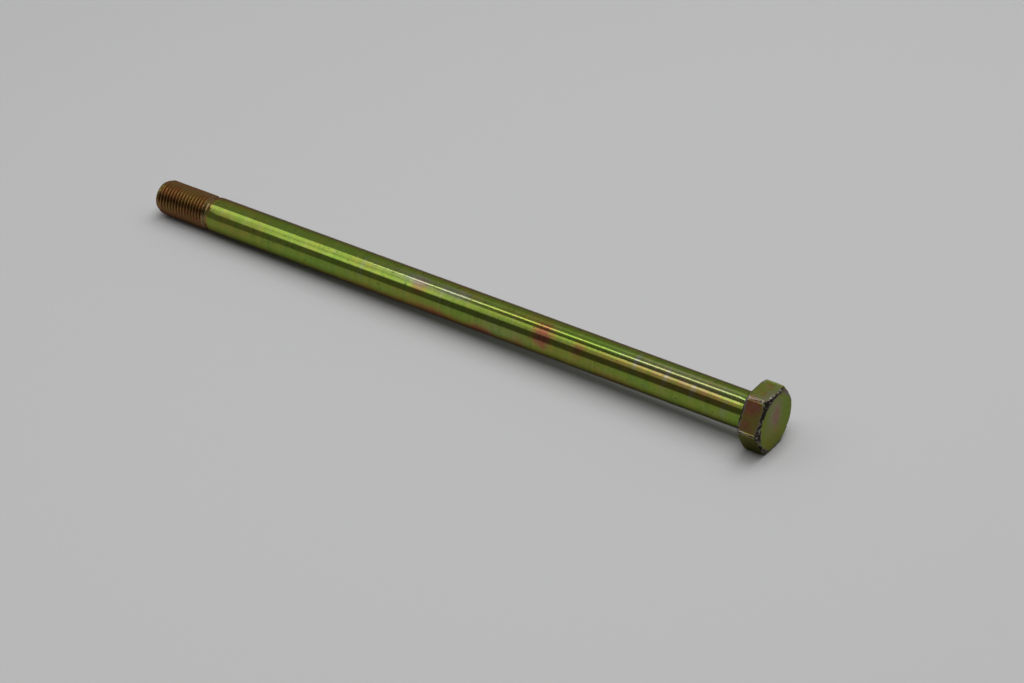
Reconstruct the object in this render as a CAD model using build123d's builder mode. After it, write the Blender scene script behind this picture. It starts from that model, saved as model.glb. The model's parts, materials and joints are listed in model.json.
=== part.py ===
from build123d import *
from math import atan, cos, degrees, radians, tan
import os

# A long hexagon-head bolt, M12 x 1.25, with a plain shank and a short threaded end.
# It is one solid: a forged head on a turned shank.
#
# The origin is the centre of the bearing face under the head. +X runs towards the head and +Z is up.
# The bolt lies as it comes to rest, on one flat of its head and on its thread, so it dips away from
# the head. All sizes are in millimetres.

# Hexagon head
across_flats = 19.0
head_height = 7.4
head_chamfer_angle = 30.0
end_circle_inset = 0.15  # the end face's chamfer circle lies this far inside the flats
bearing_circle_outset = 0.35  # the bearing face's lies this far outside them, so it only trims corners

# Shank
shank_diameter = 12.0
shank_length = 206.3  # from the bearing face to the end of the shank's chamfer
shank_end_chamfer = 0.7  # along the shank
under_head_fillet = 0.7

# Threaded end, drawn as the cylinder that the crests of the thread lie on
thread_diameter = 11.9
thread_length = 21.7  # from the end of the shank's chamfer to the tip
neck_depth = 0.35  # below the crests
neck_length = 1.0
neck_chamfer = 0.3  # along the thread, where it rises from the neck
point_depth = 0.95  # below the crests
point_length = 2.1

# Places along the bolt, negative towards the tip
shank_end = -shank_length
neck_end = shank_end - neck_length
tip = shank_end - thread_length
point_start = tip + point_length

# Radii
shank_radius = shank_diameter / 2
thread_radius = thread_diameter / 2
neck_radius = thread_radius - neck_depth
point_radius = thread_radius - point_depth
corner_radius = across_flats / 2 / cos(radians(30))
end_circle_radius = across_flats / 2 - end_circle_inset
bearing_circle_radius = across_flats / 2 + bearing_circle_outset

# The bolt touches the surface at the bearing edge of one flat and at the last full crest.
rest_angle = degrees(atan((across_flats / 2 - thread_radius) / -point_start))

# Planes through the origin, turned with the bolt: one along it and upright, one square across it
lengthwise = Plane.XZ.rotated((0, -rest_angle, 0))
crosswise = Plane.YZ.rotated((0, -rest_angle, 0))
bolt_axis = Axis(lengthwise.origin, lengthwise.x_dir)


def cone_depth(circle_radius: float) -> float:
    """How far a head chamfer that starts at this circle has sunk where it leaves the corners."""
    return (corner_radius - circle_radius) * tan(radians(head_chamfer_angle))


with BuildPart() as bolt:
    # Head: a hexagonal bar end with one flat underneath
    with BuildSketch(crosswise):
        RegularPolygon(radius=across_flats / 2, side_count=6, major_radius=False)
    extrude(amount=head_height)

    # Both ends of the hexagon are turned to a cone, which leaves an arc on each flat.
    with BuildSketch(lengthwise):
        with BuildLine():
            Polyline(
                (0, 0),
                (0, bearing_circle_radius),
                (cone_depth(bearing_circle_radius), corner_radius),
                (head_height - cone_depth(end_circle_radius), corner_radius),
                (head_height, end_circle_radius),
                (head_height, 0),
                close=True,
            )
        make_face()
    revolve(axis=bolt_axis, mode=Mode.INTERSECT)

    # Shank, neck, threaded length and point in one turned profile
    with BuildSketch(lengthwise):
        with BuildLine():
            Polyline(
                (0, 0),
                (0, shank_radius),
                (shank_end + shank_end_chamfer, shank_radius),
                (shank_end, neck_radius),
                (neck_end, neck_radius),
                (neck_end - neck_chamfer, thread_radius),
                (point_start, thread_radius),
                (tip, point_radius),
                (tip, 0),
                close=True,
            )
        make_face()
    revolve(axis=bolt_axis)

    # The fillet under the head runs round the circle where the shank meets the bearing face.
    seat_edge = bolt.edges(Select.LAST).filter_by(GeomType.CIRCLE).sort_by(bolt_axis)[-1]
    fillet(seat_edge, radius=under_head_fillet)

bolt.part.label = "bolt"
os.makedirs("parts", exist_ok=True)
export_step(bolt.part, "parts/bolt.step")
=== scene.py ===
"""A long plated hexagon bolt, lying at rest on a pale studio floor.

The bolt is one piece of steel: a forged hexagon head, a plain shank and a rolled fine thread. Its
yellow-green zinc plating has turned gold, orange and red in places, is brown over the thread, and has
chipped and worn along the edges of the head.

Lengths are in metres. The bolt is made along its own axis, with x running from the bearing face under
the head towards the end of the head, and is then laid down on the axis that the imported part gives.
"""

import json
import logging
import math
from collections.abc import Callable
from dataclasses import dataclass, field
from enum import Enum

import bmesh
import bpy
from mathutils import Matrix, Vector, noise


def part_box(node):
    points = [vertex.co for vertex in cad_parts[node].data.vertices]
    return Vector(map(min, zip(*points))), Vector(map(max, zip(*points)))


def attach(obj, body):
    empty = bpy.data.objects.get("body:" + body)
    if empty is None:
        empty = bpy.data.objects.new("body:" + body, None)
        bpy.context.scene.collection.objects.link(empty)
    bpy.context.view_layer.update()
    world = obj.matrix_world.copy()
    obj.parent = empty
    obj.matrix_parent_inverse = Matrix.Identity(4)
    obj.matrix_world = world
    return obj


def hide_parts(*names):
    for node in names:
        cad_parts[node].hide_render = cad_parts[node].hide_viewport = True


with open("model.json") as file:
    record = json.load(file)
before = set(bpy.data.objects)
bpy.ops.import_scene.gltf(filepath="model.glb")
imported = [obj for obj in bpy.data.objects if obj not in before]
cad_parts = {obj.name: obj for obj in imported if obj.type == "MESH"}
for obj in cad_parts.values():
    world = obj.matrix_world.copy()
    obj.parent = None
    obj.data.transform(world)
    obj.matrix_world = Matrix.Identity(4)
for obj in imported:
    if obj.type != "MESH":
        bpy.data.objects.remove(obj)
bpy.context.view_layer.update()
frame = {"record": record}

MM = 0.001
NODE = "bolt"
PIECE = "plated_bolt"
LOG = logging.getLogger(PIECE)
# what the mesh stores
ROW, RIM_DISTANCE, CORNER_DISTANCE = "row", "rim_distance", "corner_distance"
# film_tone is each head face's film thickness; the other layer is painted shading, a factor that darkens or
# brightens each head face for how the light falls on it
FILM_TONE, FILM_PAINTED_SHADING = "film_tone", "film_painted_shading"
SLACK = 1e-7  # for comparing places along the bolt
OUT_OF_REACH = 9.0  # millimetres, which no wear reaches

Pair = tuple[float, float]
Profile = list[Pair]
Triple = tuple[float, float, float]
Colour = tuple[float, float, float, float]
Socket = bpy.types.NodeSocket
Value = float | tuple[float, ...] | Socket


def mount(name: str) -> dict:
    """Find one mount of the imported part.

    Args:
        name: The mount's name.

    Returns:
        The mount as the record gives it.
    """
    return next(m for m in frame["record"]["mounts"] if m["name"] == name)


def add_object(name: str, data: bpy.types.ID) -> bpy.types.Object:
    """Add an object to the scene.

    Args:
        name: Its name.
        data: Its mesh, light or camera.

    Returns:
        The object, at the origin and unturned.
    """
    added = bpy.data.objects.new(name, data)
    bpy.context.scene.collection.objects.link(added)
    return added


def smoothstep(low: float, high: float, value: float) -> float:
    """Rise smoothly from 0 at low to 1 at high.

    Args:
        low: Where the rise starts.
        high: Where it ends.
        value: Where it is read.

    Returns:
        A number from 0 to 1.
    """
    t = min(max((value - low) / (high - low), 0.0), 1.0)
    return t * t * (3.0 - 2.0 * t)


# ---- Forms ----


@dataclass(frozen=True)
class BoltAxis:
    """Where the bolt's own axis lies in the row's frame."""

    origin: Vector = field(default_factory=lambda: Vector(mount("bearing_face")["pos_m"]))
    towards_tip: Vector = field(default_factory=lambda: Vector(mount("bearing_face")["axis"]))

    def placing(self) -> Matrix:
        """Lay the bolt, which is made along x, down on its axis.

        Returns:
            The matrix that does so.
        """
        along = -self.towards_tip.normalized()
        sideways = Vector((0.0, 1.0, 0.0))
        turn = Matrix((along, sideways, along.cross(sideways))).transposed()
        return Matrix.Translation(self.origin) @ turn.to_4x4()


class Zone(Enum):
    """The stretches of the bolt that are finished differently."""

    SHANK = 0
    THREAD = 1
    HEAD = 2


@dataclass(frozen=True)
class RolledThread:
    """A right-handed rolled thread, from the neck to the point."""

    major_radius: float = mount("threaded_end")["dims"]["r_mm"] * MM
    pitch: float = 1.25 * MM
    depth: float = 0.77 * MM
    neck_radius: float = 5.6 * MM
    run_out: float = 1.9 * MM
    bare_neck: float = 0.3 * MM
    # share of a pitch from the middle of a crest, and share of the depth there
    flank: tuple[Pair, ...] = (
        (0.0, 0.0), (0.0625, 0.0), (0.23, 0.46), (0.40, 0.93), (0.46, 1.0), (0.5, 1.0),
    )

    def rows(self) -> list[float]:
        """List where the rows of vertices lie within one pitch, as shares of it."""
        shares = [share for share, _ in self.flank[1:-1]]
        return shares + [1.0 - share for share in reversed(shares)]

    def groove(self, turn: float) -> float:
        """Give the depth of the groove as a share of the full depth.

        Args:
            turn: The place along the thread in pitches, whole numbers being crests.

        Returns:
            0 on a crest and 1 at the root.
        """
        away = abs(turn - round(turn))
        for (near, shallow), (far, deep) in zip(self.flank, self.flank[1:]):
            if away <= far:
                return shallow + (deep - shallow) * (away - near) / (far - near)
        return 1.0


@dataclass(frozen=True)
class HexagonHead:
    """A forged hexagon head, turned to a cone at both ends, with rounded and nicked edges."""

    across_flats: float = 19.0 * MM
    height: float = 7.4 * MM
    end_circle: float = 9.35 * MM
    bearing_circle: float = 9.85 * MM
    cone_angle: float = math.radians(30.0)
    corner_round: float = 0.5 * MM
    end_round: float = 0.28 * MM
    bearing_round: float = 0.35 * MM
    # where the rounded edges at both ends of a cone have rows, in degrees
    inner_bend: tuple[float, ...] = (0.0, 15.0, 30.0)
    outer_bend: tuple[float, ...] = (30.0, 50.0, 70.0, 90.0)
    cone_rows: tuple[float, ...] = (0.33, 0.67)
    rows_on_bearing_face: int = 5
    rows_on_flat: int = 24
    rows_on_end_face: int = 16
    nick_depth: float = 0.16 * MM
    nick_size: float = 0.9 * MM
    nick_reach: float = 0.8 * MM
    nick_limits: Pair = (0.12, 0.55)
    fine_nick_scale: float = 2.3
    fine_nick_share: float = 0.5
    # how much less far the nicks reach from a corner than from a rim
    corner_hardness: float = 1.5
    # how much thicker the film is on each side, from the lower front one round over the top
    side_tones: tuple[float, ...] = (0.32, 0.04, 0.12, 0.28, 0.0, -0.02)
    end_tone: float = -0.16
    bearing_tone: float = 0.2
    # painted shading: each side's and turned face's colour is darkened or brightened for how the light
    # falls on it, the top side darkest and the end face brightest
    side_painted_shading: tuple[float, ...] = (1.00, 0.68, 0.9, 1.0, 1.0, 0.76)
    end_painted_shading: float = 1.27
    bearing_painted_shading: float = 0.9
    # the cosine above which a face counts as turned
    turned_limit: float = 0.9

    def reach(self, angle: float) -> float:
        """Give the hexagon's radius in one direction, with its corners rounded.

        Args:
            angle: The direction round the axis, in radians, 0 being a corner.

        Returns:
            The radius.
        """
        from_corner = abs((angle + math.pi / 6) % (math.pi / 3) - math.pi / 6)
        on_flat = self.across_flats / 2 / math.cos(math.pi / 6 - from_corner)
        centre = (self.across_flats / 2 - self.corner_round) / math.cos(math.pi / 6)
        across = centre * math.sin(from_corner)
        if across >= self.corner_round:
            return on_flat
        return min(on_flat, centre * math.cos(from_corner) + math.sqrt(self.corner_round**2 - across**2))

    def rim(self, reach: float, circle: float, rounding: float) -> Profile:
        """Give the rounded edge between a turned face and the hexagon's side, by way of the cone.

        Args:
            reach: The hexagon's radius in this direction.
            circle: The radius at which the cone meets the face.
            rounding: The radius of the rounded edges.

        Returns:
            Places as (depth below the face, radius), from the face to the side.
        """
        sine, cosine = math.sin(self.cone_angle), math.cos(self.cone_angle)
        side = reach - rounding
        level = circle * sine - rounding
        depth = (side * sine - level) / cosine
        outer = (depth, side) if depth > rounding else (rounding, side)
        inner = (rounding, (level + cosine * rounding) / sine) if depth > rounding else outer
        near, far = (
            [(down - rounding * math.cos(angle), radius + rounding * math.sin(angle))
             for angle in map(math.radians, bend)]
            for (down, radius), bend in ((inner, self.inner_bend), (outer, self.outer_bend))
        )
        cone = [tuple(a + (b - a) * share for a, b in zip(near[-1], far[0])) for share in self.cone_rows]
        return near + cone + far

    def section(self, angle: float, start: float) -> Profile:
        """Give the outline of the head in one half plane through the axis.

        Args:
            angle: The direction of the half plane round the axis.
            start: The radius on the bearing face where the outline starts.

        Returns:
            Places as (x, radius), as many for every direction, from the bearing face to the end face.
        """
        reach = self.reach(angle)
        bearing = self.rim(reach, self.bearing_circle, self.bearing_round)
        end = [(self.height - depth, radius)
               for depth, radius in self.rim(reach, self.end_circle, self.end_round)]
        face = [(0.0, start + (bearing[0][1] - start) * step / self.rows_on_bearing_face)
                for step in range(self.rows_on_bearing_face)]
        low, high = bearing[-1][0], end[-1][0]
        flat = [(low + (high - low) * step / self.rows_on_flat, reach)
                for step in range(1, self.rows_on_flat)]
        disc = [(self.height, end[0][1] * (1.0 - step / self.rows_on_end_face))
                for step in range(1, self.rows_on_end_face + 1)]
        return face + bearing + flat + list(reversed(end)) + disc

    def rim_distance(self, place: Pair, angle: float) -> float:
        """Measure how far a place on the head is from the rim of its nearer turned face.

        Args:
            place: The place as (x, radius).
            angle: Its direction round the axis, 0 being a corner.

        Returns:
            The distance along the surface, roughly.
        """
        x, radius = place
        reach = self.reach(angle)
        if x > self.height - SLACK:
            return max(min(reach, self.end_circle) - radius, 0.0)
        if x < SLACK:
            return max(min(reach, self.bearing_circle) - radius, 0.0)
        from_end = self.height - x - max(reach - self.end_circle, 0.0) * math.tan(self.cone_angle)
        from_bearing = x - max(reach - self.bearing_circle, 0.0) * math.tan(self.cone_angle)
        return max(min(from_end, from_bearing), 0.0)

    def corner_distance(self, place: Pair, angle: float) -> float:
        """Measure how far a place on a side is from the nearer corner.

        Args:
            place: The place as (x, radius).
            angle: Its direction round the axis, 0 being a corner.

        Returns:
            The distance along the side, and one that no wear reaches for a place on a turned face.
        """
        x, radius = place
        if x > self.height - SLACK or x < SLACK:
            return self.across_flats
        from_middle = abs((angle % (math.pi / 3)) - math.pi / 6)
        return max(self.across_flats / 2 * math.tan(math.pi / 6) - radius * math.sin(from_middle), 0.0)

    def film(self, normal: Vector) -> Pair:
        """Describe the film on the side or turned face that looks along a normal, with its painted shading.

        Args:
            normal: The direction it looks.

        Returns:
            The film's extra thickness, and the painted shading that darkens or brightens that face for how
            the light falls on it.
        """
        if normal.x > self.turned_limit:
            return self.end_tone, self.end_painted_shading
        if normal.x < -self.turned_limit:
            return self.bearing_tone, self.bearing_painted_shading
        side = int(math.atan2(normal.z, -normal.y) % math.tau / (math.pi / 3)) % 6
        return self.side_tones[side], self.side_painted_shading[side]

    def nick(self, place: Vector, distance: float) -> Vector:
        """Knock a place near an edge inwards, where the edge is nicked.

        Args:
            place: The place on the head.
            distance: How far it is from the nearest edge.

        Returns:
            The place after the knock.
        """
        if distance > self.nick_reach:
            return place
        coarse = place / self.nick_size
        grain = noise.noise(coarse) + self.fine_nick_share * noise.noise(coarse * self.fine_nick_scale)
        knock = smoothstep(*self.nick_limits, grain) * (1.0 - distance / self.nick_reach)
        inwards = (Vector((self.height / 2, 0.0, 0.0)) - place).normalized()
        return place + inwards * self.nick_depth * knock


@dataclass
class PlatedBolt:
    """The whole bolt as one closed mesh, from the tip to the end of the head."""

    thread: RolledThread = RolledThread()
    head: HexagonHead = HexagonHead()
    shank_radius: float = mount("shank")["dims"]["r_mm"] * MM
    shank_end: float = -206.3 * MM
    shank_chamfer: float = 1.5 * MM
    # the rounded chamfer, as shares of its length and how far it has risen there above the neck
    chamfer_rows: tuple[Pair, ...] = (
        (0.0, 0.0), (0.08, 0.13 * MM), (0.2, 0.23 * MM),
        (0.38, 0.31 * MM), (0.65, 0.37 * MM), (1.0, 0.4 * MM),
    )
    tip: float = -228.0 * MM
    point_length: float = 2.1 * MM
    point_radius: float = 5.0 * MM
    point_round: float = 0.2 * MM
    point_swell: float = 0.35
    # the middle of the round at the point's edge, from the end face and from the rim
    point_bend: Pair = (0.05 * MM, 0.06 * MM)
    # rows of vertices across the end face, as shares of its radius
    tip_rows: tuple[float, ...] = (0.0, 0.25, 0.5, 0.75, 0.9)
    fillet_radius: float = 0.7 * MM
    fillet_steps: int = 6
    shank_row: float = 3.0 * MM
    columns: int = 192
    weld: float = 0.012 * MM
    sharp: float = math.radians(28.0)

    def build(self) -> bpy.types.Object:
        """Make the bolt's mesh and lay it on its axis.

        Returns:
            The finished object, at the origin and unturned.
        """
        mesh = bpy.data.meshes.new(PIECE)
        bm = bmesh.new()
        bm.verts.layers.int.new(ROW)
        for name in (RIM_DISTANCE, CORNER_DISTANCE):
            bm.verts.layers.float.new(name)
        for name in (FILM_TONE, FILM_PAINTED_SHADING):
            bm.faces.layers.float.new(name)
        self.turn_tip(bm)
        self.roll_thread(bm)
        self.turn_shank(bm)
        self.forge_head(bm)
        bmesh.ops.remove_doubles(bm, verts=bm.verts, dist=self.weld)
        bmesh.ops.recalc_face_normals(bm, faces=bm.faces)
        self.mark_zones(bm)
        self.shade(bm)
        bm.verts.layers.int.remove(bm.verts.layers.int[ROW])
        bmesh.ops.transform(bm, matrix=BoltAxis().placing(), verts=bm.verts)
        bm.to_mesh(mesh)
        bm.free()
        return add_object(PIECE, mesh)

    def spin(self, bm: bmesh.types.BMesh, outline: Profile, lead: float = 0.0) -> list[bmesh.types.BMVert]:
        """Sweep an outline once round the axis.

        Args:
            bm: The mesh to add to.
            outline: Places as (x, radius).
            lead: How far the sweep moves along the axis in its whole turn.

        Returns:
            The new vertices, each with the number of its row in its layer.
        """
        layer = bm.verts.layers.int[ROW]
        before = set(bm.verts)
        line = [bm.verts.new((x, -radius, 0.0)) for x, radius in outline]
        for number, vert in enumerate(line):
            vert[layer] = number
        edges = [bm.edges.new(pair) for pair in zip(line, line[1:])]
        bmesh.ops.spin(
            bm,
            geom=line + edges,
            cent=(0.0, 0.0, 0.0),
            axis=(-1.0, 0.0, 0.0),
            dvec=(lead / self.columns, 0.0, 0.0),
            angle=math.tau,
            steps=self.columns,
            use_merge=lead == 0.0,  # a helix doesn't meet its own start
        )
        return [vert for vert in bm.verts if vert not in before]

    def turn_tip(self, bm: bmesh.types.BMesh) -> None:
        """Make the flat end of the point, with a small round at its edge.

        Args:
            bm: The mesh to add to.
        """
        rim = self.point_radius
        along, inward = self.point_bend
        face = [(self.tip, rim * share) for share in self.tip_rows]
        edge = [(self.tip, rim - self.point_round), (self.tip + along, rim - inward)]
        self.spin(bm, face + edge + [(self.tip + self.point_round, rim)])

    def roll_thread(self, bm: bmesh.types.BMesh) -> None:
        """Make the thread from the point's rim to the neck, with every row of vertices along the helix.

        Args:
            bm: The mesh to add to.
        """
        form = self.thread
        low = self.tip + self.point_round
        high = self.shank_end
        turns = math.ceil((high - low) / form.pitch) + 1
        # the first row starts on the point's rim, so that no gap is left beside it
        rows = [0.0] + [turn + share for turn in range(turns + 1) for share in form.rows()]
        outline = [(low + form.pitch * row, form.major_radius) for row in rows]
        for vert in self.spin(bm, outline, lead=-form.pitch):
            angle = math.atan2(vert.co.z, -vert.co.y) % math.tau
            x = min(max(vert.co.x, low), high)
            turn = (x - low) / form.pitch + angle / math.tau
            crest = form.major_radius - form.depth * form.groove(turn)
            grown = smoothstep(high - form.bare_neck, high - form.run_out, x)
            radius = form.neck_radius + (crest - form.neck_radius) * grown
            radius = min(radius, self.point(x - low))
            vert.co = Vector((x, -radius * math.cos(angle), radius * math.sin(angle)))

    def point(self, along: float) -> float:
        """Give the radius of the point, which swells a little between its rim and the crests.

        Args:
            along: The distance from the point's rim.

        Returns:
            The radius, which keeps growing past the point's end.
        """
        share = along / (self.point_length - self.point_round)
        swollen = share * (1.0 + self.point_swell * (1.0 - share)) if share < 1.0 else share
        return self.point_radius + (self.thread.major_radius - self.point_radius) * swollen

    def turn_shank(self, bm: bmesh.types.BMesh) -> None:
        """Make the shank with the chamfer at its end and the fillet under the head.

        Args:
            bm: The mesh to add to.
        """
        radius = self.shank_radius
        chamfered = self.shank_end + self.shank_chamfer
        length = -self.fillet_radius - chamfered
        count = round(length / self.shank_row)
        outline = [(self.shank_end + self.shank_chamfer * share, self.thread.neck_radius + rise)
                   for share, rise in self.chamfer_rows]
        outline += [(chamfered + length * step / count, radius) for step in range(1, count)]
        for step in range(self.fillet_steps + 1):
            bend = math.pi / 2 * step / self.fillet_steps
            away = self.fillet_radius * (1.0 - math.sin(bend))
            outline.append((-away, radius + self.fillet_radius * (1.0 - math.cos(bend))))
        self.spin(bm, outline)

    def forge_head(self, bm: bmesh.types.BMesh) -> None:
        """Make the hexagon head, its columns drawn in towards the corners.

        Args:
            bm: The mesh to add to.
        """
        start = self.shank_radius + self.fillet_radius
        row_of = bm.verts.layers.int[ROW]
        rim_of, corner_of = (bm.verts.layers.float[name] for name in (RIM_DISTANCE, CORNER_DISTANCE))
        outline = self.head.section(0.0, start)
        sixth = math.pi / 3
        sections = {}
        for vert in self.spin(bm, outline):
            row = vert[row_of]
            vert[rim_of] = vert[corner_of] = OUT_OF_REACH
            if row == len(outline) - 1:
                vert.co = Vector((self.head.height, 0.0, 0.0))
                continue
            column = round(math.atan2(vert.co.z, -vert.co.y) % math.tau / math.tau * self.columns)
            angle = column / self.columns * math.tau
            drawn = angle - angle % sixth + smoothstep(0.0, sixth, angle % sixth) * sixth
            if column not in sections:
                sections[column] = self.head.section(drawn, start)
            bent = angle + (drawn - angle) * min(row / self.head.rows_on_bearing_face, 1.0)
            x, radius = sections[column][row]
            rim = self.head.rim_distance((x, radius), drawn)
            corner = self.head.corner_distance((x, radius), drawn)
            place = Vector((x, -radius * math.cos(bent), radius * math.sin(bent)))
            if row > 0:
                place = self.head.nick(place, min(rim, corner * self.head.corner_hardness))
            vert.co = place
            vert[rim_of] = rim / MM
            vert[corner_of] = corner / MM

    def mark_zones(self, bm: bmesh.types.BMesh) -> None:
        """Give each face the finish of its stretch, and the head's faces their film tone and painted
        shading.

        Args:
            bm: The whole bolt.
        """
        tone_of, painted_shading_of = (bm.faces.layers.float[name] for name in (FILM_TONE, FILM_PAINTED_SHADING))
        for face in bm.faces:
            x = face.calc_center_median().x
            zone = Zone.HEAD if x > -SLACK else Zone.SHANK if x > self.shank_end else Zone.THREAD
            face.material_index = zone.value
            if zone is Zone.HEAD:
                face[tone_of], face[painted_shading_of] = self.head.film(face.normal)

    def shade(self, bm: bmesh.types.BMesh) -> None:
        """Shade the bolt smooth, with its sharp edges kept sharp.

        Args:
            bm: The whole bolt.
        """
        for face in bm.faces:
            face.smooth = True
        for edge in bm.edges:
            if edge.is_manifold and edge.calc_face_angle() > self.sharp:
                edge.smooth = False


# ---- Finishes ----


FLOAT, VECTOR = "NodeSocketFloat", "NodeSocketVector"
ORIGIN = (0.0, 0.0, 0.0)


@dataclass
class NodeBench:
    """Puts nodes into one material or group and joins them."""

    tree: bpy.types.NodeTree

    def put(self, kind: str, values: dict | None = None, **settings: object) -> bpy.types.Node:
        """Add a node.

        Args:
            kind: The node's type.
            values: A number, colour or socket for each input, by its name or number.
            settings: The node's own settings.

        Returns:
            The new node.
        """
        node = self.tree.nodes.new(kind)
        for name, value in settings.items():
            setattr(node, name, value)
        for name, value in (values or {}).items():
            self.feed(node.inputs[name], value)
        return node

    def feed(self, socket: Socket, value: Value) -> None:
        """Set an input, or join another node's output to it.

        Args:
            socket: The input.
            value: A number, colour, vector or another node's output.
        """
        if isinstance(value, Socket):
            self.tree.links.new(value, socket)
        else:
            socket.default_value = value

    def sum(self, operation: str, first: Value, second: Value = 0.0, third: Value = 0.0) -> Socket:
        """Do one step of arithmetic on numbers.

        Args:
            operation: The Math node's operation.
            first: The first number or socket.
            second: The second.
            third: The third, where the operation has one.

        Returns:
            The result's socket.
        """
        values = {0: first, 1: second, 2: third}
        return self.put("ShaderNodeMath", values, operation=operation).outputs[0]

    def vector(self, operation: str, first: Value, second: Value = ORIGIN) -> Socket:
        """Do one step of arithmetic on vectors, as sum does on numbers."""
        node = self.put("ShaderNodeVectorMath", {0: first, 1: second}, operation=operation)
        return node.outputs["Value" if operation == "LENGTH" else "Vector"]

    def noise(self, place: Value, size: Value, detail: float = 2.0, roughness: float = 0.5) -> Socket:
        """Add noise.

        Args:
            place: The place where it is read.
            size: About how large its cells are each way.
            detail: How many finer layers it has.
            roughness: How strong those are.

        Returns:
            The noise's socket.
        """
        cells = self.vector("DIVIDE", place, size)
        values = {"Vector": cells, "Scale": 1.0, "Detail": detail, "Roughness": roughness}
        return self.put("ShaderNodeTexNoise", values).outputs[0]

    def vary(self, value: Value, noise: Value, amount: Value) -> Socket:
        """Let noise vary a value by up to half an amount either way."""
        return self.sum("MULTIPLY_ADD", self.sum("SUBTRACT", noise, 0.5), amount, value)

    def rise(self, value: Value, low: Value, high: Value) -> Socket:
        """Rise smoothly from 0 to 1 as a value goes from low to high."""
        values = {"Value": value, "From Min": low, "From Max": high}
        return self.put("ShaderNodeMapRange", values, interpolation_type="SMOOTHSTEP").outputs[0]

    def mix(self, factor: Value, first: Value, second: Value) -> Socket:
        """Mix two colours.

        Args:
            factor: The second colour's share.
            first: The first colour or socket.
            second: The second.

        Returns:
            The mixed colour's socket.
        """
        node = self.put("ShaderNodeMix", data_type="RGBA")
        for number, value in ((0, factor), (6, first), (7, second)):
            self.feed(node.inputs[number], value)
        return node.outputs[2]


@dataclass(frozen=True)
class SharedEffect:
    """One effect that several finishes use, built once as a node group."""

    name: str
    takes: dict
    gives: dict
    wire: Callable[[NodeBench, dict], dict]

    def group(self) -> bpy.types.NodeTree:
        """Give the node group, building it the first time.

        Returns:
            The group.
        """
        if self.name in bpy.data.node_groups:
            return bpy.data.node_groups[self.name]
        tree = bpy.data.node_groups.new(self.name, "ShaderNodeTree")
        for label, value in self.takes.items():
            kind = FLOAT if isinstance(value, float) else VECTOR
            socket = tree.interface.new_socket(name=label, in_out="INPUT", socket_type=kind)
            socket.default_value = value
        for label, kind in self.gives.items():
            tree.interface.new_socket(name=label, in_out="OUTPUT", socket_type=kind)
        bench = NodeBench(tree)
        entry = bench.put("NodeGroupInput")
        leave = bench.put("NodeGroupOutput")
        for label, socket in self.wire(bench, entry.outputs).items():
            bench.feed(leave.inputs[label], socket)
        return tree

    def use(self, bench: NodeBench, values: dict) -> bpy.types.Node:
        """Place the effect in a material.

        Args:
            bench: The material's nodes.
            values: A number, vector or socket for each input by its name.

        Returns:
            The group's node.
        """
        node = bench.put("ShaderNodeGroup", node_tree=self.group())
        for name, value in values.items():
            bench.feed(node.inputs[name], value)
        return node


# the film's colour as it thickens
FILM_COLOURS = (
    (0.00, (0.185, 0.330, 0.025)),
    (0.28, (0.235, 0.310, 0.027)),
    (0.52, (0.300, 0.260, 0.031)),
    (0.76, (0.330, 0.180, 0.042)),
    (1.00, (0.370, 0.122, 0.054)),
)
# pale colour for hazy film and scratches, and for painted highlights that whiten highlight lines
HAZE_AND_HIGHLIGHT_COLOUR = (0.33, 0.32, 0.27, 1.0)
# sizes in millimetres along and across the bolt, and the levels between which each mark fades in
SCRATCH_SIZE, SCRATCH_LIMITS = (0.6, 3.4, 3.4), (0.59, 0.68)
SPECK_SIZE, SPECK_LIMITS = (0.9, 0.7, 0.7), (0.66, 0.71)
CHIP_LIMITS = (0.84, 0.94)
RUB_LIMITS = (0.62, 0.92)
# where a stain starts to fade out and where it ends, as shares of its size
STAIN_LIMITS = (0.25, 1.0)


def wire_film(bench: NodeBench, given: dict) -> dict:
    """Wire the plating's film colour: green where it is thin, then gold, orange and red.

    Args:
        bench: The group's nodes.
        given: The group's inputs.

    Returns:
        The sockets for the group's outputs.
    """
    place = given["Place"]
    drift = bench.noise(place, given["Drift Size"], detail=3.0, roughness=0.55)
    streak = bench.noise(place, given["Streak Size"], detail=4.0, roughness=0.65)
    tone = bench.vary(given["Tone"], drift, given["Drift"])
    tone = bench.vary(tone, streak, given["Streaks"])
    tone = bench.sum("ADD", tone, given["Stain"])
    ramp = bench.put("ShaderNodeValToRGB", {0: tone})
    stops = ramp.color_ramp.elements
    for _ in FILM_COLOURS[len(stops):]:
        stops.new(0.5)
    for stop, (at, colour) in zip(stops, FILM_COLOURS):
        stop.position = at
        stop.color = (*colour, 1.0)
    scratch = bench.rise(bench.noise(place, SCRATCH_SIZE), *SCRATCH_LIMITS)
    # the haze holds the hazy film and scratches, and painted highlights that whiten highlight lines
    haze = bench.sum("MULTIPLY_ADD", scratch, given["Scratches"], given["Haze And Painted Highlight"])
    speck = bench.rise(bench.noise(place, SPECK_SIZE), *SPECK_LIMITS)
    shade = bench.vary(given["Depth"], streak, given["Shade"])
    darkening = bench.sum("MULTIPLY", given["Specks"], -1.0)
    shade = bench.sum("MULTIPLY", shade, bench.sum("MULTIPLY_ADD", speck, darkening, 1.0))
    clear = bench.mix(haze, ramp.outputs[0], HAZE_AND_HIGHLIGHT_COLOUR)
    colour = bench.put("ShaderNodeVectorMath", {0: clear, "Scale": shade}, operation="SCALE").outputs[0]
    return {"Colour": colour}


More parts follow.
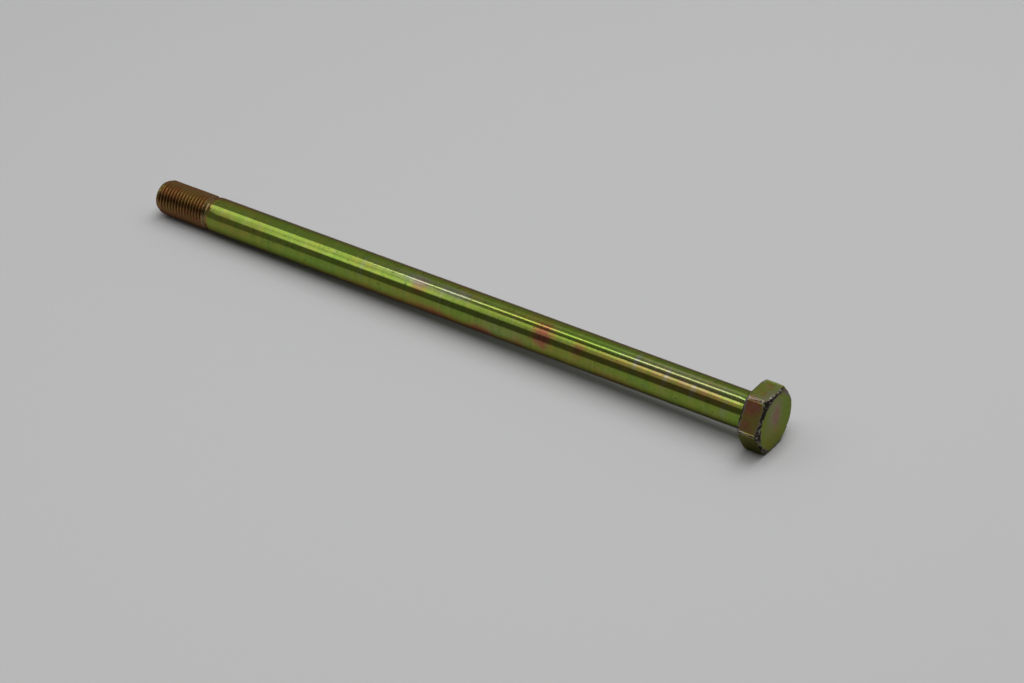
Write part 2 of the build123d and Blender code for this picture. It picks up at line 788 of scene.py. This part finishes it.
def wire_stain(bench: NodeBench, given: dict) -> dict:
    """Wire a ragged blot round one place.

    Args:
        bench: The group's nodes.
        given: The group's inputs.

    Returns:
        The sockets for the group's outputs.
    """
    away = bench.vector("DIVIDE", bench.vector("SUBTRACT", given["Place"], given["Centre"]), given["Size"])
    length = bench.vector("LENGTH", away)
    grain = bench.noise(given["Place"], given["Grain"], detail=3.0, roughness=0.6)
    ragged = bench.vary(length, grain, given["Ragged"])
    mask = bench.sum("SUBTRACT", 1.0, bench.rise(ragged, *STAIN_LIMITS))
    return {"Mask": bench.sum("MULTIPLY", mask, given["Strength"])}


def wire_grain(bench: NodeBench, given: dict) -> dict:
    """Wire the fine grain left by drawing and grinding, as a height and a roughness.

    Args:
        bench: The group's nodes.
        given: The group's inputs.

    Returns:
        The sockets for the group's outputs.
    """
    fine = bench.noise(given["Place"], given["Size"], detail=3.0, roughness=0.6)
    broad = bench.noise(given["Place"], given["Patch"])
    return {"Height": fine, "Roughness": bench.vary(given["Roughness"], broad, given["Spread"])}


def wire_edge_wear(bench: NodeBench, given: dict) -> dict:
    """Wire the wear along edges: chips through the plating, and rubbed steel beside them.

    Args:
        bench: The group's nodes.
        given: The group's inputs.

    Returns:
        The sockets for the group's outputs.
    """
    near = bench.sum("SUBTRACT", 1.0, bench.rise(given["Distance"], 0.0, given["Reach"]))
    chip_grain = bench.noise(given["Place"], given["Chip Size"], detail=3.0, roughness=0.65)
    rub_grain = bench.noise(given["Place"], given["Rub Size"])
    chip_level = bench.sum("MULTIPLY_ADD", near, given["Chips"], chip_grain)
    rub_level = bench.sum("MULTIPLY_ADD", near, given["Rubbing"], rub_grain)
    return {"Chips": bench.rise(chip_level, *CHIP_LIMITS), "Rubbed": bench.rise(rub_level, *RUB_LIMITS)}


FILM = SharedEffect(
    "plating_film",
    {"Place": ORIGIN, "Tone": 0.28, "Drift": 0.4, "Drift Size": (22.0, 7.0, 7.0), "Streaks": 0.3,
     "Streak Size": (1.6, 16.0, 16.0), "Shade": 0.4, "Depth": 1.0, "Haze And Painted Highlight": 0.0, "Stain": 0.0,
     "Scratches": 0.0, "Specks": 0.0},
    {"Colour": "NodeSocketColor"},
    wire_film,
)
STAIN = SharedEffect(
    "stain",
    {"Place": ORIGIN, "Centre": ORIGIN, "Size": (1.0, 1.0, 1.0), "Grain": (1.0, 1.0, 1.0), "Ragged": 0.8,
     "Strength": 1.0},
    {"Mask": FLOAT},
    wire_stain,
)
GRAIN = SharedEffect(
    "metal_grain",
    {"Place": ORIGIN, "Size": (0.3, 6.0, 6.0), "Patch": (9.0, 4.0, 4.0), "Spread": 0.08, "Roughness": 0.17},
    {"Height": FLOAT, "Roughness": FLOAT},
    wire_grain,
)
EDGE_WEAR = SharedEffect(
    "edge_wear",
    {"Place": ORIGIN, "Distance": OUT_OF_REACH, "Reach": 0.9, "Chips": 0.45, "Chip Size": (0.8, 0.8, 0.8),
     "Rubbing": 0.5, "Rub Size": (2.0, 2.0, 2.0)},
    {"Chips": FLOAT, "Rubbed": FLOAT},
    wire_edge_wear,
)


@dataclass(frozen=True)
class Blot:
    """One stain in the film, at a place in millimetres along the bolt and across it."""

    centre: Triple
    size: Triple
    strength: float

    @staticmethod
    def round_shank(*rows: tuple[float, float, float, float, float]) -> tuple["Blot", ...]:
        """Place blots on the shank.

        Args:
            rows: For each blot, its place along the bolt, its direction round the axis in degrees (0
                being level in front and 90 on top), how far it reaches along the bolt, how far round
                it, and how much it thickens the film.

        Returns:
            The blots.
        """
        radius = mount("shank")["dims"]["r_mm"]
        blots = []
        for x, turn, half_length, spread, strength in rows:
            angle = math.radians(turn)
            centre = (x, -radius * math.cos(angle), radius * math.sin(angle))
            blots.append(Blot(centre, (half_length, spread, spread), strength))
        return tuple(blots)


@dataclass(frozen=True)
class PlatedFinish:
    """Zinc plating over steel on one stretch of the bolt."""

    name: str
    tone: float
    roughness: float
    drift: float = 0.3
    drift_size: Triple = (22.0, 7.0, 7.0)
    streaks: float = 0.3
    streak_size: Triple = (1.6, 16.0, 16.0)
    shade: float = 0.4
    depth: float = 1.0
    haze: float = 0.0
    scratches: float = 0.0
    specks: float = 0.0
    edge_tint: Colour = (0.36, 0.20, 0.20, 1.0)
    grain_size: Triple = (0.35, 6.0, 6.0)
    grain_depth: float = 0.002 * MM
    patch: Triple = (9.0, 4.0, 4.0)
    roughness_spread: float = 0.08
    coat: float = 0.25
    coat_roughness: float = 0.1
    blot_grain: Triple = (1.2, 2.5, 2.5)
    blots: tuple[Blot, ...] = ()
    # pale patches: hazy film, and painted highlights laid along highlight lines
    hazes_and_painted_highlights: tuple[Blot, ...] = ()

    def material(self) -> bpy.types.Material:
        """Make the material.

        Returns:
            A metal under a thin coloured film.
        """
        material = bpy.data.materials.new(self.name)
        material.use_nodes = True
        shader = material.node_tree.nodes["Principled BSDF"]
        constants = {"Metallic": 1.0, "Specular Tint": self.edge_tint, "Coat Weight": self.coat,
                     "Coat Roughness": self.coat_roughness}
        for name, value in constants.items():
            shader.inputs[name].default_value = value
        self.dress(NodeBench(material.node_tree), shader)
        return material

    def place(self, bench: NodeBench) -> Socket:
        """Give the place on the bolt in millimetres, along its own axis.

        Args:
            bench: The material's nodes.

        Returns:
            The place's socket.
        """
        lean = math.asin(BoltAxis().towards_tip.normalized().z)
        object_place = bench.put("ShaderNodeTexCoord").outputs["Object"]
        values = {"Vector": object_place, "Rotation": (0.0, -lean, 0.0), "Scale": (1.0 / MM,) * 3}
        return bench.put("ShaderNodeMapping", values).outputs[0]

    def blot_sum(self, bench: NodeBench, place: Socket, blots: tuple[Blot, ...],
                 start: float = 0.0) -> Value:
        """Add up blots.

        Args:
            bench: The material's nodes.
            place: The place on the bolt.
            blots: The blots.
            start: What they are added to.

        Returns:
            The sum's socket, or the start where there are no blots.
        """
        total = start
        for blot in blots:
            values = {"Place": place, "Centre": blot.centre, "Size": blot.size, "Grain": self.blot_grain,
                      "Strength": blot.strength}
            total = bench.sum("ADD", STAIN.use(bench, values).outputs["Mask"], total)
        return total

    def film(self, bench: NodeBench, place: Socket, stain: Value, depth: Value) -> Socket:
        """Colour the film.

        Args:
            bench: The material's nodes.
            place: The place on the bolt.
            stain: The film's extra thickness.
            depth: The share of the light it throws back, which on the head also carries each face's painted
                shading.

        Returns:
            The colour's socket.
        """
        values = {"Place": place, "Tone": self.tone, "Drift": self.drift, "Drift Size": self.drift_size,
                  "Streaks": self.streaks, "Streak Size": self.streak_size, "Shade": self.shade,
                  "Depth": depth, "Stain": stain, "Scratches": self.scratches, "Specks": self.specks,
                  "Haze And Painted Highlight": self.blot_sum(bench, place, self.hazes_and_painted_highlights, self.haze)}
        return FILM.use(bench, values).outputs["Colour"]

    def grain(self, bench: NodeBench, place: Socket, shader: bpy.types.Node) -> Socket:
        """Give the surface its fine grain.

        Args:
            bench: The material's nodes.
            place: The place on the bolt.
            shader: The shader that takes the bumps.

        Returns:
            The roughness's socket.
        """
        values = {"Place": place, "Size": self.grain_size, "Patch": self.patch,
                  "Spread": self.roughness_spread, "Roughness": self.roughness}
        grain = GRAIN.use(bench, values)
        heights = {"Height": grain.outputs["Height"], "Distance": self.grain_depth}
        bump = bench.put("ShaderNodeBump", heights)
        bench.feed(shader.inputs["Normal"], bump.outputs[0])
        return grain.outputs["Roughness"]

    def dress(self, bench: NodeBench, shader: bpy.types.Node) -> None:
        """Feed the shader from the shared effects.

        Args:
            bench: The material's nodes.
            shader: The material's shader.
        """
        place = self.place(bench)
        stain = self.blot_sum(bench, place, self.blots)
        bench.feed(shader.inputs["Base Color"], self.film(bench, place, stain, self.depth))
        bench.feed(shader.inputs["Roughness"], self.grain(bench, place, shader))


@dataclass(frozen=True)
class Wear:
    """How one kind of edge has worn."""

    distance: str
    reach: float
    chips: float
    chip_size: Triple
    rubbing: float
    rub_size: Triple


@dataclass(frozen=True)
class HeadFinish(PlatedFinish):
    """The head's plating, chipped and rubbed along the edges."""

    rim: Wear = Wear(RIM_DISTANCE, 1.6, 0.26, (0.8, 0.9, 0.9), 0.22, (1.4, 2.4, 2.4))
    corner: Wear = Wear(CORNER_DISTANCE, 0.9, 0.16, (0.9, 0.7, 0.7), 0.22, (2.0, 1.4, 1.4))
    worst: tuple[Blot, ...] = (
        Blot((6.8, -3.2, 8.8), (5.0, 10.0, 7.0), 0.21),
        Blot((6.8, -8.6, 2.0), (4.0, 5.0, 9.0), 0.16),
        Blot((6.8, -6.6, -5.0), (4.0, 5.0, 5.0), 0.17),
        Blot((0.0, -8.0, 4.5), (2.6, 6.0, 9.0), 0.26),
        Blot((3.8, -10.6, 0.0), (4.2, 2.6, 2.6), 0.25),
    )
    chip_colour: Colour = (0.030, 0.024, 0.017, 1.0)
    rubbed_colour: Colour = (0.21, 0.195, 0.175, 1.0)
    chip_roughness: float = 0.3

    def wear(self, bench: NodeBench, place: Socket, edge: Wear) -> bpy.types.Node:
        """Wear one kind of edge, most where the head has been knocked most.

        Args:
            bench: The material's nodes.
            place: The place on the bolt.
            edge: How such edges have worn.

        Returns:
            The group's node, which gives the chips and the rubbed steel.
        """
        distance = bench.put("ShaderNodeAttribute", attribute_name=edge.distance).outputs["Fac"]
        values = {"Place": place, "Distance": distance, "Reach": edge.reach,
                  "Chips": self.blot_sum(bench, place, self.worst, edge.chips),
                  "Chip Size": edge.chip_size,
                  "Rubbing": self.blot_sum(bench, place, self.worst, edge.rubbing),
                  "Rub Size": edge.rub_size}
        return EDGE_WEAR.use(bench, values)

    def dress(self, bench: NodeBench, shader: bpy.types.Node) -> None:
        """Feed the shader from the shared effects, with the wear over the film.

        Args:
            bench: The material's nodes.
            shader: The material's shader.
        """
        place = self.place(bench)
        side = bench.put("ShaderNodeAttribute", attribute_name=FILM_TONE).outputs["Fac"]
        stain = bench.sum("ADD", self.blot_sum(bench, place, self.blots), side)
        # painted shading: each face's share of the light thrown back is scaled to darken or brighten it for
        # how the light falls on it
        share = bench.put("ShaderNodeAttribute", attribute_name=FILM_PAINTED_SHADING).outputs["Fac"]
        film = self.film(bench, place, stain, bench.sum("MULTIPLY", share, self.depth))
        roughness = self.grain(bench, place, shader)
        rim, corner = self.wear(bench, place, self.rim), self.wear(bench, place, self.corner)
        chips = bench.sum("MAXIMUM", rim.outputs["Chips"], corner.outputs["Chips"])
        rubbed = bench.sum("MAXIMUM", rim.outputs["Rubbed"], corner.outputs["Rubbed"])
        colour = bench.mix(rubbed, film, self.rubbed_colour)
        bench.feed(shader.inputs["Base Color"], bench.mix(chips, colour, self.chip_colour))
        roughness = bench.sum("MULTIPLY_ADD", chips, self.chip_roughness, roughness)
        bench.feed(shader.inputs["Roughness"], roughness)


SHANK_FINISH = PlatedFinish(
    name="shank_plating",
    tone=0.24,
    roughness=0.125,
    haze=0.04,
    scratches=0.22,
    specks=0.7,
    drift=0.9,
    drift_size=(14.0, 5.0, 5.0),
    streaks=0.45,
    shade=0.5,
    depth=0.83,
    coat=0.28,
    blots=Blot.round_shank(
        (-119.8, 54.0, 4.2, 4.6, 0.50),
        (-72.6, 36.0, 5.6, 6.6, 0.50),
        (-72.4, 28.0, 3.2, 4.6, 0.26),
        (-59.2, 34.0, 3.0, 5.6, 0.27),
        (-94.8, -16.0, 7.0, 2.8, 0.42),
        (-81.6, -18.0, 5.0, 2.8, 0.35),
        (-28.0, 38.0, 48.0, 2.9, 0.32),
        # painted reflection: this long stripe along the underside browns the film, standing in for the dark
        # shadowed floor it reflects
        (-125.0, -35.0, 60.0, 4.2, 0.40),
        # painted highlight colour: this long stripe along the upper highlight line near the head shifts the
        # film's tone to tint the highlight
        (-22.0, 68.0, 34.0, 3.6, 0.14),
        (-30.0, 88.0, 52.0, 3.4, -0.12),
        # painted reflection: this stripe along the underside near the head browns the film, standing in for
        # the dark shadowed floor it reflects
        (-52.0, -24.0, 34.0, 3.6, 0.20),
        (-112.0, -14.0, 10.0, 3.4, 0.24),
    ) + (
        Blot((-206.4, 0.0, 0.0), (2.6, 24.0, 24.0), 0.46),
        Blot((-194.0, 0.0, 0.0), (18.0, 24.0, 24.0), 0.09),
        Blot((-160.0, 0.0, 0.0), (30.0, 24.0, 24.0), -0.09),
    ),
    hazes_and_painted_highlights=Blot.round_shank(
        (-121.0, 66.0, 6.0, 3.0, 0.40),
        (-106.0, 66.0, 8.0, 2.4, 0.32),
        (-39.6, 72.0, 1.2, 5.6, 0.50),
        (-28.4, 50.0, 0.9, 5.0, 0.45),
        (-18.6, 36.0, 1.3, 3.2, 0.40),
        (-142.0, 54.0, 1.0, 5.6, 0.24),
        (-111.0, 50.0, 0.8, 5.6, 0.26),
        (-7.4, 14.0, 1.6, 5.0, 0.22),
        (-87.0, 4.0, 14.0, 4.0, 0.12),
        # painted highlight: these two long pale stripes lie along the upper highlight line to whiten the
        # highlight there
        (-22.0, 68.0, 34.0, 3.2, 0.30),
        (-116.0, 67.0, 30.0, 2.6, 0.26),
    ),
)
THREAD_FINISH = PlatedFinish(
    name="thread_plating",
    tone=0.84,
    roughness=0.27,
    depth=0.71,
    coat=0.15,
    drift=0.6,
    drift_size=(7.0, 4.0, 4.0),
    streaks=0.3,
    streak_size=(0.8, 5.0, 5.0),
    haze=0.12,
    blots=(
        Blot((-229.0, 0.0, 3.0), (4.6, 7.0, 5.0), -0.45),
        Blot((-217.0, -2.0, 6.5), (18.0, 7.0, 5.5), -0.13),
        Blot((-207.0, 0.0, 0.0), (2.0, 24.0, 24.0), -0.14),
    ),
    # painted highlight: a pale band on the neck's ring that stands in for the ring's pale glint
    hazes_and_painted_highlights=(Blot((-206.9, 0.0, 0.0), (1.6, 24.0, 24.0), 0.16),),
)
HEAD_FINISH = HeadFinish(
    name="head_plating",
    tone=0.30,
    roughness=0.40,
    drift=0.62,
    drift_size=(3.2, 3.2, 3.2),
    streaks=0.15,
    streak_size=(1.2, 1.2, 1.2),
    shade=0.25,
    depth=0.72,
    haze=0.12,
    specks=0.5,
    grain_size=(0.6, 0.6, 0.6),
    grain_depth=0.006 * MM,
    patch=(3.0, 3.0, 3.0),
    roughness_spread=0.12,
    coat=0.2,
    coat_roughness=0.2,
    blots=(
        Blot((2.9, -6.5, 7.7), (4.2, 3.2, 4.4), 0.44),
        Blot((2.8, -9.8, 1.9), (3.2, 2.2, 3.0), 0.16),
        Blot((3.7, 2.6, 9.5), (2.2, 2.3, 1.6), 0.28),
        Blot((4.2, -1.9, 9.5), (2.0, 2.2, 1.6), 0.26),
        Blot((7.4, 0.0, 1.6), (1.5, 3.4, 6.5), 0.76),
        Blot((7.4, 6.4, 0.0), (1.5, 3.4, 7.5), -0.14),
        Blot((7.4, -1.5, -5.5), (1.5, 9.0, 6.0), 0.20),
    ),
    hazes_and_painted_highlights=(
        Blot((7.5, -0.8, 2.8), (0.9, 7.0, 9.0), 0.44),
        Blot((4.4, -4.6, 9.5), (4.0, 2.2, 1.0), 0.35),
        Blot((5.6, -1.0, 9.5), (2.0, 4.0, 1.2), 0.40),
    ),
)


# ---- Studio ----


@dataclass(frozen=True)
class Panel:
    """A soft panel of light on the studio's ceiling, turned by an angle in degrees."""

    name: str
    centre: Pair
    size: Pair
    turn: float
    brightness: float


@dataclass
class Studio:
    """The floor, the light and the camera."""

    ceiling: float = 1.0
    floor_size: float = 8.0
    floor_colour: Triple = (0.455, 0.455, 0.458)
    floor_roughness: float = 0.6
    floor_gloss: float = 0.2
    lens: float = 97.64
    azimuth: float = 34.1413
    elevation: float = 34.05
    roll: float = 0.5022
    distance: float = 0.87273
    aim: Triple = (-0.088724, 0.002585, -0.010129)
    room_far_left: float = 0.20
    room_left: float = 0.11
    room_right: float = 0.02
    room_back: float = 0.40
    # between which directions one part of the room fades into the next, along x, x and y
    far_left_edge: Pair = (-0.56, -0.48)
    right_edge: Pair = (-0.15, 0.35)
    back_edge: Pair = (-0.35, 0.30)
    panels: tuple[Panel, ...] = (
        Panel("overhead_panel", (-0.01, 0.18), (0.54, 1.60), 0.0, 3.85),
        Panel("back_strip", (-0.567, 0.086), (0.46, 0.095), 32.6, 3.2),
        Panel("front_strip", (-0.51, -0.57), (0.18, 0.32), 0.0, 2.1),
        Panel("front_middle_strip", (-0.64, -0.57), (0.08, 0.32), 0.0, 1.35),
        Panel("left_strip", (-0.92, -0.57), (0.48, 0.32), 0.0, 0.98),
        Panel("left_panel", (-1.05, -0.20), (0.62, 0.40), 0.0, 1.42),
        Panel("front_panel", (-0.91, -1.07), (0.86, 0.66), 0.0, 0.52),
        Panel("left_front_panel", (-1.08, -1.07), (0.76, 0.20), 63.0, 1.10),
        Panel("back_panel", (-0.51, 0.75), (0.42, 0.46), 0.0, 0.33),
        Panel("back_left_panel", (-0.80, 0.75), (0.14, 0.46), 0.0, 0.14),
    )

    def build(self) -> None:
        """Set up the floor, the light and the camera."""
        self.lay_floor()
        for order, panel in enumerate(self.panels):
            self.hang(panel, self.ceiling + order * MM)
        self.light_room()
        self.place_camera()
        bpy.context.scene.view_settings.view_transform = "Standard"

    def lay_floor(self) -> None:
        """Lay the floor at the bolt's lowest point."""
        mesh = bpy.data.meshes.new("floor")
        bm = bmesh.new()
        bmesh.ops.create_grid(bm, x_segments=1, y_segments=1, size=self.floor_size / 2)
        bmesh.ops.translate(bm, verts=bm.verts, vec=(0.0, 0.0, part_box(NODE)[0][2]))
        bm.to_mesh(mesh)
        bm.free()
        floor = add_object("floor", mesh)
        material = bpy.data.materials.new("floor_paper")
        material.use_nodes = True
        shader = material.node_tree.nodes["Principled BSDF"]
        shader.inputs["Base Color"].default_value = (*self.floor_colour, 1.0)
        shader.inputs["Roughness"].default_value = self.floor_roughness
        shader.inputs["Specular IOR Level"].default_value = self.floor_gloss
        mesh.materials.append(material)

    def hang(self, panel: Panel, height: float) -> None:
        """Hang one panel of light, facing straight down.

        Args:
            panel: The panel.
            height: Its height above the origin, one of its own, so that panels can overlap.
        """
        light = bpy.data.lights.new(panel.name, "AREA")
        light.shape = "RECTANGLE"
        light.size, light.size_y = panel.size
        # the power that gives a panel of this size its brightness
        light.energy = panel.brightness * math.pi * light.size * light.size_y
        lamp = add_object(panel.name, light)
        lamp.location = (*panel.centre, height)
        lamp.rotation_euler.z = math.radians(panel.turn)

    def light_room(self) -> None:
        """Light the room itself: brightest behind, then at the far left, and darkest at the right front."""
        world = bpy.data.worlds.new("room")
        world.use_nodes = True
        bench = NodeBench(world.node_tree)
        direction = bench.put("ShaderNodeTexCoord").outputs["Generated"]
        towards = bench.put("ShaderNodeSeparateXYZ", {0: direction}).outputs
        levels = (self.room_far_left, self.room_left, self.room_right, self.room_back)
        far_left, left, right, back = ((level, level, level, 1.0) for level in levels)
        front_left = bench.mix(bench.rise(towards["X"], *self.far_left_edge), far_left, left)
        front = bench.mix(bench.rise(towards["X"], *self.right_edge), front_left, right)
        share = bench.rise(towards["Y"], *self.back_edge)
        background = world.node_tree.nodes["Background"]
        bench.feed(background.inputs["Color"], bench.mix(share, front, back))
        bpy.context.scene.world = world

    def place_camera(self) -> None:
        """Place the camera at its viewing angle."""
        azimuth, elevation = math.radians(self.azimuth), math.radians(self.elevation)
        back = Vector((
            math.sin(azimuth) * math.cos(elevation),
            -math.cos(azimuth) * math.cos(elevation),
            math.sin(elevation),
        ))
        camera = add_object("camera", bpy.data.cameras.new("camera"))
        camera.data.lens = self.lens
        turn = back.to_track_quat("Z", "Y").to_matrix().to_4x4()
        roll = Matrix.Rotation(math.radians(self.roll), 4, "Z")
        place = Matrix.Translation(Vector(self.aim) + back * self.distance)
        camera.matrix_world = place @ turn @ roll
        bpy.context.scene.camera = camera


def main() -> None:
    """Build the bolt and the studio, and report what was made."""
    logging.basicConfig(level=logging.INFO, format="%(name)s: %(message)s")
    bolt = PlatedBolt().build()
    for finish in (SHANK_FINISH, THREAD_FINISH, HEAD_FINISH):
        bolt.data.materials.append(finish.material())
    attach(bolt, "root")
    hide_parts(NODE)
    LOG.info("%s has %d faces", bolt.name, len(bolt.data.polygons))
    Studio().build()
    LOG.info("the studio is set")


if __name__ == "__main__":
    main()
